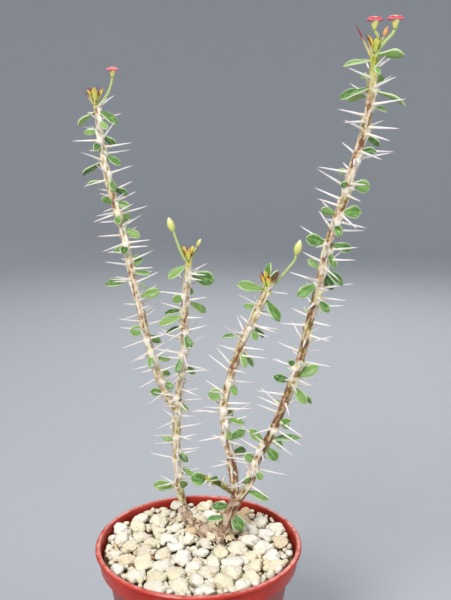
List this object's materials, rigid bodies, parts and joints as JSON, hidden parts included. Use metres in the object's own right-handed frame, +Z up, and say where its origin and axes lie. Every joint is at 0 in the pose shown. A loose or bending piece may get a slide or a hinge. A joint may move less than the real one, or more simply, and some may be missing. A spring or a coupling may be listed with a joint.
{
  "type": "potted euphorbia guillemetii hybrid",
  "caption": "Potted euphorbia hybrid: thin spiny stems with small green leaves and red flowers, growing from a woody base in a round plastic pot topped with gravel.",
  "frame": {"origin": "middle of the pot's foot, on the surface the pot stands on", "axes": "+Z up, -Y towards the plant's front, +X towards the tall right stem's side"},
  "size_m": [0.1588, 0.13, 0.3427],
  "materials": {
    "pot_plastic": "satin terracotta-red plastic",
    "soil": "dark peat and grit",
    "gravel": "cream, white and sandy stones",
    "bark": "rough brown bark",
    "stem": "tan stems with green leaves and pale spines",
    "flower_green": "smooth yellow-green",
    "bract": "satin red"
  },
  "bodies": {
    "root": {"pot": "pot_plastic", "soil": "soil", "gravel": "gravel", "woody_base": "bark", "tall_right_stem": "stem", "short_right_stem": "stem", "short_left_stem": "stem", "tall_left_stem": "stem", "side_shoot": "stem", "tall_left_flower_stalk": "flower_green", "tall_left_flower_bracts_1": "bract", "tall_right_flowers_stalk": "flower_green", "tall_right_flowers_bracts_1": "bract", "tall_right_flowers_bracts_2": "bract", "short_left_bud_stalk": "flower_green", "short_left_young_bud_stalk": "flower_green", "short_right_bud_stalk": "flower_green"}
  },
  "joints": []
}
